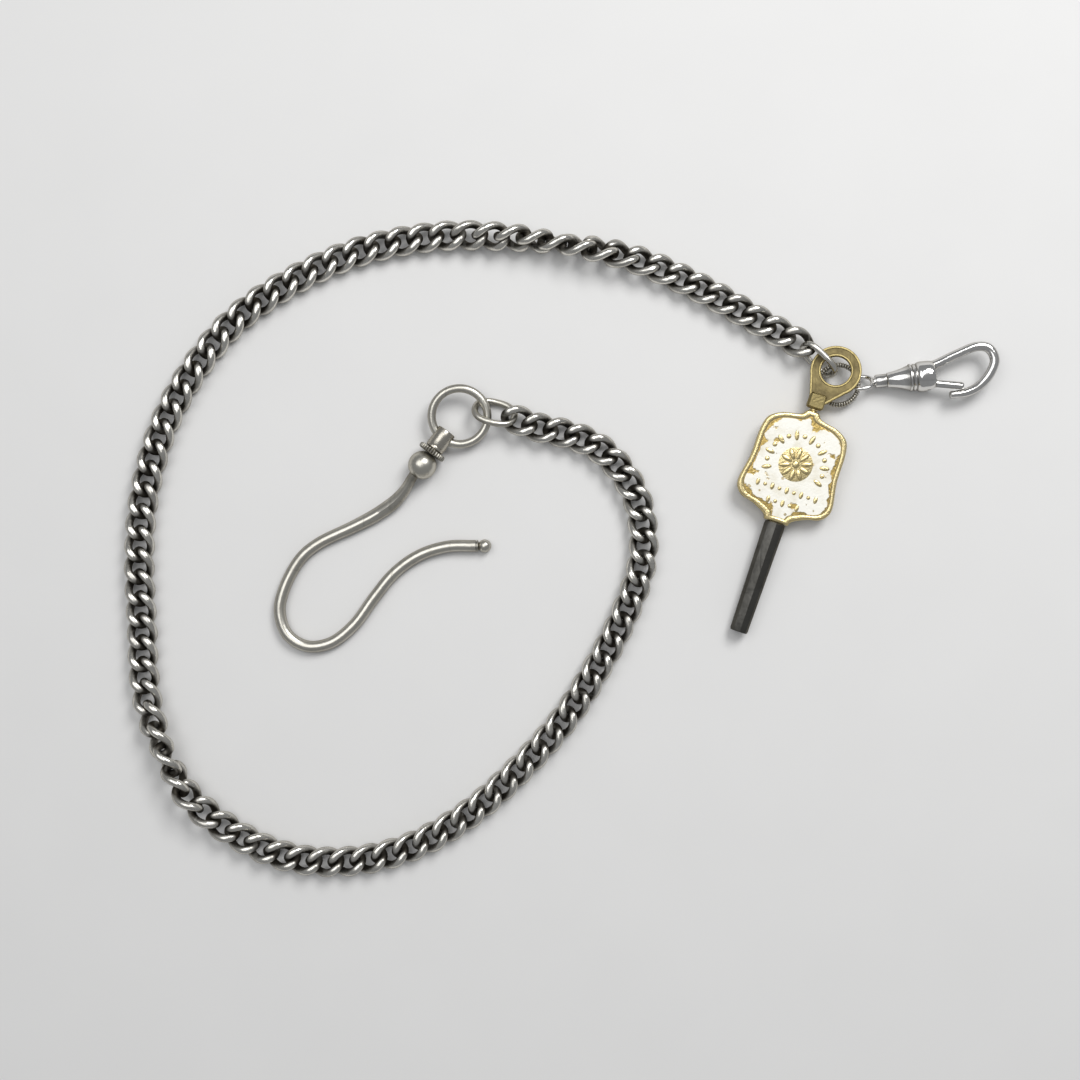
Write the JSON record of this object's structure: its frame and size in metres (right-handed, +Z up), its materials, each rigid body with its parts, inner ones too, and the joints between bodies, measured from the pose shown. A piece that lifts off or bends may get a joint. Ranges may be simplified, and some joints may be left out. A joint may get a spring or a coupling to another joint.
{
  "type": "pocket watch chain",
  "caption": "Curb-link pocket watch chain laid out in an open loop, with a swivelling buttonhole hook, a spring clasp for the watch and a decorative winding key.",
  "frame": {"origin": "on the table under the middle of the laid-out chain", "axes": "+X to the clasp side along the longest extent, +Y to the side where the chain arches over, +Z up off the table"},
  "size_m": [0.13, 0.0977, 0.0049],
  "materials": {
    "aged_silver": "worn silver with dark tarnish in the recesses",
    "polished_silver": "polished silver with light wear",
    "bright_nickel": "bright nickel plate",
    "aged_brass": "aged gilt brass with a dull patina",
    "dark_steel": "dark browned steel"
  },
  "bodies": {
    "clasp": {"clasp_body": "bright_nickel", "clasp_hook": "bright_nickel", "clasp_gate_pin": "bright_nickel", "clasp_spring": "dark_steel"},
    "gate": {"clasp_gate": "bright_nickel"},
    "clasp_eye": {"clasp_eye": "bright_nickel"},
    "milled_ring": {"milled_ring": "polished_silver"},
    "key": {"key_plate": "aged_brass", "key_pipe": "dark_steel", "key_swivel_pin": "aged_brass"},
    "key_bow": {"key_bow": "aged_brass"},
    "end_link": {"end_link": "polished_silver"},
    "hook": {"swivel_pin": "polished_silver", "swivel_collar": "polished_silver", "hook_ball": "polished_silver", "hook_wire": "polished_silver", "hook_tip_bead": "polished_silver"},
    "swivel_drum": {"swivel_drum": "polished_silver"},
    "jump_ring": {"jump_ring": "polished_silver"},
    "connector_link": {"connector_link": "polished_silver"},
    "chain_length_01": {"chain_length_01": "aged_silver"},
    "chain_length_02": {"chain_length_02": "aged_silver"},
    "chain_length_03": {"chain_length_03": "aged_silver"},
    "chain_length_04": {"chain_length_04": "aged_silver"},
    "chain_length_05": {"chain_length_05": "aged_silver"},
    "chain_length_06": {"chain_length_06": "aged_silver"},
    "chain_length_07": {"chain_length_07": "aged_silver"},
    "chain_length_08": {"chain_length_08": "aged_silver"},
    "chain_length_09": {"chain_length_09": "aged_silver"},
    "chain_length_10": {"chain_length_10": "aged_silver"},
    "chain_length_11": {"chain_length_11": "aged_silver"},
    "chain_length_12": {"chain_length_12": "aged_silver"},
    "chain_length_13": {"chain_length_13": "aged_silver"},
    "chain_length_14": {"chain_length_14": "aged_silver"},
    "chain_length_15": {"chain_length_15": "aged_silver"},
    "chain_length_16": {"chain_length_16": "aged_silver"},
    "chain_length_17": {"chain_length_17": "aged_silver"},
    "chain_length_18": {"chain_length_18": "aged_silver"},
    "chain_length_19": {"chain_length_19": "aged_silver"},
    "chain_length_20": {"chain_length_20": "aged_silver"},
    "chain_length_21": {"chain_length_21": "aged_silver"},
    "chain_length_22": {"chain_length_22": "aged_silver"},
    "chain_length_23": {"chain_length_23": "aged_silver"},
    "chain_length_24": {"chain_length_24": "aged_silver"},
    "chain_length_25": {"chain_length_25": "aged_silver"},
    "chain_length_26": {"chain_length_26": "aged_silver"},
    "chain_length_27": {"chain_length_27": "aged_silver"},
    "chain_length_28": {"chain_length_28": "aged_silver"},
    "chain_length_29": {"chain_length_29": "aged_silver"},
    "chain_length_30": {"chain_length_30": "aged_silver"}
  },
  "joints": [
    {"name": "clasp_gate_hinge", "type": "hinge", "parent": "clasp", "child": "gate", "pos_m": [0.05527, 0.02463, 0.00235], "axis": [-0.0556, -0.0054, 0.9984], "range_deg": [0, 22], "stiffness_Nm_per_rad": 0.002, "springref_deg": -20.05},
    {"name": "hook_swivel", "type": "hinge", "parent": "swivel_drum", "child": "hook", "pos_m": [-0.01863, 0.0149, 0.00219], "axis": [0.5874, 0.8085, -0.0349], "continuous": true},
    {"name": "drum_slide_round_ring", "type": "hinge", "parent": "jump_ring", "child": "swivel_drum", "pos_m": [-0.01486, 0.01971, 0.00227], "axis": [0.0218, -0.1234, 0.9921], "range_deg": [-20, 20]},
    {"name": "key_swivel", "type": "hinge", "parent": "key_bow", "child": "key", "pos_m": [0.03801, 0.02187, 0.00292], "axis": [-0.3154, -0.9481, -0.0401], "continuous": true},
    {"name": "clasp_swivel", "type": "hinge", "parent": "clasp_eye", "child": "clasp", "pos_m": [0.05064, 0.0253, 0.0021], "axis": [0.9937, 0.0974, 0.0558], "continuous": true},
    {"name": "clasp_eye_sway", "type": "hinge", "parent": "milled_ring", "child": "clasp_eye", "pos_m": [0.04347, 0.0246, 0.0017], "axis": [-0.0556, -0.0054, 0.9984], "range_deg": [-15, 15]},
    {"name": "milled_ring_tilt", "type": "hinge", "parent": "end_link", "child": "milled_ring", "pos_m": [0.04062, 0.02606, 0.00204], "axis": [0.2866, 0.2886, 0.9135], "range_deg": [-12, 12]},
    {"name": "key_bow_sway", "type": "hinge", "parent": "end_link", "child": "key_bow", "pos_m": [0.04062, 0.02606, 0.00234], "axis": [0, 0, 1], "range_deg": [-10, 10]},
    {"name": "end_link_turn", "type": "hinge", "parent": "chain_length_30", "child": "end_link", "pos_m": [0.0364, 0.03026, 0.00204], "axis": [0.2866, 0.2886, 0.9135], "range_deg": [-10, 10]},
    {"name": "jump_ring_turn", "type": "hinge", "parent": "connector_link", "child": "jump_ring", "pos_m": [-0.01256, 0.02101, 0.00205], "axis": [0, 0, 1], "range_deg": [-10, 10]},
    {"name": "connector_turn", "type": "hinge", "parent": "chain_length_01", "child": "connector_link", "pos_m": [-0.00673, 0.01959, 0.00205], "axis": [0.1774, 0.7276, -0.6626], "range_deg": [-10, 10]},
    {"name": "chain_length_14_swing", "type": "hinge", "parent": "chain_length_15", "child": "chain_length_14", "pos_m": [-0.06001, -0.02666, 0.00265], "axis": [0.9376, 0.3477, 0], "range_deg": [-10, 10]},
    {"name": "chain_length_13_swing", "type": "hinge", "parent": "chain_length_14", "child": "chain_length_13", "pos_m": [-0.05582, -0.03548, 0.00282], "axis": [0, 0, -1], "range_deg": [-10, 10]},
    {"name": "chain_length_12_swing", "type": "hinge", "parent": "chain_length_13", "child": "chain_length_12", "pos_m": [-0.04871, -0.04212, 0.00167], "axis": [-0.548, -0.8365, 0], "range_deg": [-10, 10]},
    {"name": "chain_length_11_swing", "type": "hinge", "parent": "chain_length_12", "child": "chain_length_11", "pos_m": [-0.0398, -0.04602, 0.00155], "axis": [0, 0, 1], "range_deg": [-10, 10]},
    {"name": "chain_length_10_swing", "type": "hinge", "parent": "chain_length_11", "child": "chain_length_10", "pos_m": [-0.03006, -0.04638, 0.00155], "axis": [-0.1202, 0.9928, 0], "range_deg": [-10, 10]},
    {"name": "chain_length_09_swing", "type": "hinge", "parent": "chain_length_10", "child": "chain_length_09", "pos_m": [-0.02068, -0.04373, 0.00155], "axis": [0, 0, -1], "range_deg": [-10, 10]},
    {"name": "chain_length_08_swing", "type": "hinge", "parent": "chain_length_09", "child": "chain_length_08", "pos_m": [-0.01237, -0.0386, 0.00155], "axis": [0.6146, -0.7888, 0], "range_deg": [-10, 10]},
    {"name": "chain_length_07_swing", "type": "hinge", "parent": "chain_length_08", "child": "chain_length_07", "pos_m": [-0.00516, -0.032, 0.00155], "axis": [0, 0, 1], "range_deg": [-10, 10]},
    {"name": "chain_length_06_swing", "type": "hinge", "parent": "chain_length_07", "child": "chain_length_06", "pos_m": [0.00124, -0.02462, 0.00155], "axis": [-0.8064, 0.5914, 0], "range_deg": [-10, 10]},
    {"name": "chain_length_05_swing", "type": "hinge", "parent": "chain_length_06", "child": "chain_length_05", "pos_m": [0.00639, -0.0163, 0.00155], "axis": [0, 0, -1], "range_deg": [-10, 10]},
    {"name": "chain_length_04_swing", "type": "hinge", "parent": "chain_length_05", "child": "chain_length_04", "pos_m": [0.01063, -0.00749, 0.00155], "axis": [0.9302, -0.367, 0], "range_deg": [-10, 10]},
    {"name": "chain_length_03_swing", "type": "hinge", "parent": "chain_length_04", "child": "chain_length_03", "pos_m": [0.01249, 0.00202, 0.00155], "axis": [0, 0, 1], "range_deg": [-10, 10]},
    {"name": "chain_length_02_swing", "type": "hinge", "parent": "chain_length_03", "child": "chain_length_02", "pos_m": [0.00956, 0.01119, 0.00155], "axis": [-0.8172, -0.5763, 0], "range_deg": [-10, 10]},
    {"name": "chain_length_01_swing", "type": "hinge", "parent": "chain_length_02", "child": "chain_length_01", "pos_m": [0.00185, 0.01686, 0.00155], "axis": [0, 0, -1], "range_deg": [-10, 10]},
    {"name": "chain_length_16_swing", "type": "hinge", "parent": "chain_length_15", "child": "chain_length_16", "pos_m": [-0.06201, -0.01713, 0.00155], "axis": [0, 0, 1], "range_deg": [-10, 10]},
    {"name": "chain_length_17_swing", "type": "hinge", "parent": "chain_length_16", "child": "chain_length_17", "pos_m": [-0.06242, -0.00736, 0.00155], "axis": [-0.9986, -0.0531, 0], "range_deg": [-10, 10]},
    {"name": "chain_length_18_swing", "type": "hinge", "parent": "chain_length_17", "child": "chain_length_18", "pos_m": [-0.06248, 0.00242, 0.00155], "axis": [0, 0, -1], "range_deg": [-10, 10]},
    {"name": "chain_length_19_swing", "type": "hinge", "parent": "chain_length_18", "child": "chain_length_19", "pos_m": [-0.061, 0.01207, 0.00155], "axis": [0.9698, -0.2439, 0], "range_deg": [-10, 10]},
    {"name": "chain_length_20_swing", "type": "hinge", "parent": "chain_length_19", "child": "chain_length_20", "pos_m": [-0.05767, 0.02125, 0.00155], "axis": [0, 0, 1], "range_deg": [-10, 10]},
    {"name": "chain_length_21_swing", "type": "hinge", "parent": "chain_length_20", "child": "chain_length_21", "pos_m": [-0.05245, 0.02951, 0.00155], "axis": [-0.7907, 0.6122, 0], "range_deg": [-10, 10]},
    {"name": "chain_length_22_swing", "type": "hinge", "parent": "chain_length_21", "child": "chain_length_22", "pos_m": [-0.04549, 0.03633, 0.00155], "axis": [0, 0, -1], "range_deg": [-10, 10]},
    {"name": "chain_length_23_swing", "type": "hinge", "parent": "chain_length_22", "child": "chain_length_23", "pos_m": [-0.03709, 0.04134, 0.00155], "axis": [0.4445, -0.8958, 0], "range_deg": [-10, 10]},
    {"name": "chain_length_24_swing", "type": "hinge", "parent": "chain_length_23", "child": "chain_length_24", "pos_m": [-0.02797, 0.04483, 0.00155], "axis": [0, 0, 1], "range_deg": [-10, 10]},
    {"name": "chain_length_25_swing", "type": "hinge", "parent": "chain_length_24", "child": "chain_length_25", "pos_m": [-0.01835, 0.0465, 0.00172], "axis": [-0.0752, 0.9972, 0], "range_deg": [-10, 10]},
    {"name": "chain_length_26_swing", "type": "hinge", "parent": "chain_length_25", "child": "chain_length_26", "pos_m": [-0.00857, 0.04628, 0.00278], "axis": [0, 0, -1], "range_deg": [-10, 10]},
    {"name": "chain_length_27_swing", "type": "hinge", "parent": "chain_length_26", "child": "chain_length_27", "pos_m": [0.00114, 0.04514, 0.00265], "axis": [-0.1594, -0.9872, 0], "range_deg": [-10, 10]},
    {"name": "chain_length_28_swing", "type": "hinge", "parent": "chain_length_27", "child": "chain_length_28", "pos_m": [0.01072, 0.04316, 0.00226], "axis": [0, 0, 1], "range_deg": [-10, 10]},
    {"name": "chain_length_29_swing", "type": "hinge", "parent": "chain_length_28", "child": "chain_length_29", "pos_m": [0.01975, 0.03945, 0.00155], "axis": [0.4439, 0.8961, 0], "range_deg": [-10, 10]},
    {"name": "chain_length_30_swing", "type": "hinge", "parent": "chain_length_29", "child": "chain_length_30", "pos_m": [0.02832, 0.03472, 0.00155], "axis": [0, 0, -1], "range_deg": [-10, 10]}
  ]
}
